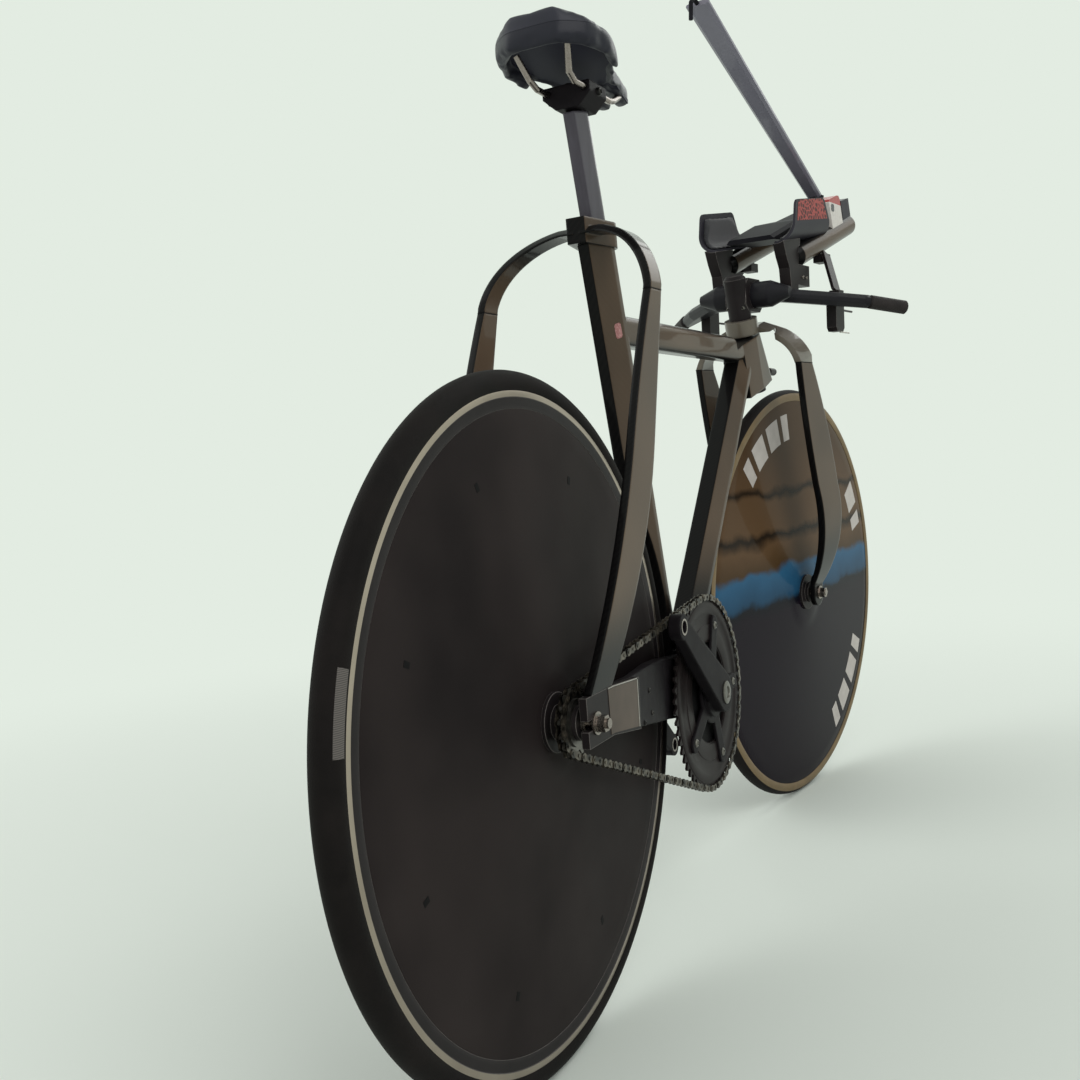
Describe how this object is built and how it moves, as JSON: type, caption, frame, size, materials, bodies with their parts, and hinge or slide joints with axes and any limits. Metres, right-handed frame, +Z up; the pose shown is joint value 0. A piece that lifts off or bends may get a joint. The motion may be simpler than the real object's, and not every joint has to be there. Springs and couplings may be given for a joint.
{
  "type": "triathlon bicycle",
  "caption": "Carbon time-trial bicycle with two solid disc wheels, a base bar with forearm extensions, a fixed single-speed chain drive and a short saddle.",
  "frame": {"origin": "the rider's seat point on top of the saddle, over the middle of the sit-bone area", "axes": "+X forward along the bike, +Y to the rider's left, +Z up; the bars rest turned 8.6 degrees to the right"},
  "size_m": [1.6434, 0.4086, 1.2284],
  "materials": {
    "gloss_carbon": "clear gloss lacquer over black carbon",
    "satin_carbon": "satin black carbon",
    "grey_paint": "gloss grey paint",
    "black_metal": "black anodised",
    "silver_metal": "machined",
    "chain_steel": "oiled steel",
    "tyre_rubber": "smooth rubber, tan side wall in front",
    "foam": "soft foam under a smooth cover",
    "grip_rubber": "matt rubber",
    "pod_plastic": "white moulding with red ends",
    "black_plastic": "moulded"
  },
  "bodies": {
    "frame": {"frame_shell": "gloss_carbon", "bracket_cups": "black_metal", "stay_yoke": "gloss_carbon", "seatstay_left": "gloss_carbon", "seatstay_right": "gloss_carbon", "chainstay_left": "gloss_carbon", "chainstay_right": "gloss_carbon", "dropout_left": "black_metal", "dropout_right": "black_metal", "seat_post": "gloss_carbon", "saddle_base": "satin_carbon", "saddle_pad": "foam", "saddle_rails": "silver_metal", "saddle_clamp": "black_metal", "chain": "chain_steel", "rear_axle": "silver_metal", "rear_axle_nuts": "silver_metal", "head_lever": "silver_metal", "lever_knob": "black_metal"},
    "rear_wheel": {"rear_tyre": "tyre_rubber", "rear_rim": "silver_metal", "rear_disc": "satin_carbon", "rear_hub": "black_metal", "rear_cog": "silver_metal", "rear_lockring": "silver_metal"},
    "crankset": {"crank_left": "black_metal", "crank_right": "black_metal", "chainring": "black_metal", "crank_spindle": "silver_metal"},
    "steering": {"steerer": "silver_metal", "headset_cap": "black_metal", "fork_crown": "grey_paint", "fork_blade_left": "gloss_carbon", "fork_blade_right": "gloss_carbon", "stem": "satin_carbon", "base_bar": "gloss_carbon", "grip_left": "grip_rubber", "grip_right": "grip_rubber", "extension_left": "satin_carbon", "extension_right": "satin_carbon", "arm_cup_left": "satin_carbon", "arm_cup_right": "satin_carbon", "arm_pad_left": "foam", "arm_pad_right": "foam", "risers": "satin_carbon", "bottle": "satin_carbon", "straw_socket": "black_plastic", "straw": "black_plastic", "mouthpiece": "black_plastic", "front_axle": "silver_metal", "front_axle_nuts": "silver_metal", "brace_left": "black_metal", "brace_right": "black_metal", "hand_pod": "pod_plastic", "pod_block": "grey_paint"},
    "front_wheel": {"front_tyre": "tyre_rubber", "front_disc": "gloss_carbon", "front_hub": "black_metal"}
  },
  "joints": [
    {"name": "rear_wheel_spin", "type": "hinge", "parent": "frame", "child": "rear_wheel", "pos_m": [-0.215, 0, -0.698], "axis": [0, 1, 0], "continuous": true},
    {"name": "crank_spin", "type": "hinge", "parent": "frame", "child": "crankset", "pos_m": [0.17, 0, -0.749], "axis": [0, 1, 0], "continuous": true},
    {"name": "steering", "type": "hinge", "parent": "frame", "child": "steering", "pos_m": [0.71377, 0, -0.71121], "axis": [-0.284, 0, 0.9588], "range_deg": [-31.4, 48.6]},
    {"name": "front_wheel_spin", "type": "hinge", "parent": "steering", "child": "front_wheel", "pos_m": [0.75454, -0.00643, -0.69914], "axis": [0.1434, 0.9888, 0.0425], "continuous": true}
  ],
  "couplings": [
    {"joint": "crank_spin", "follows": "rear_wheel_spin", "ratio": 0.25862}
  ]
}
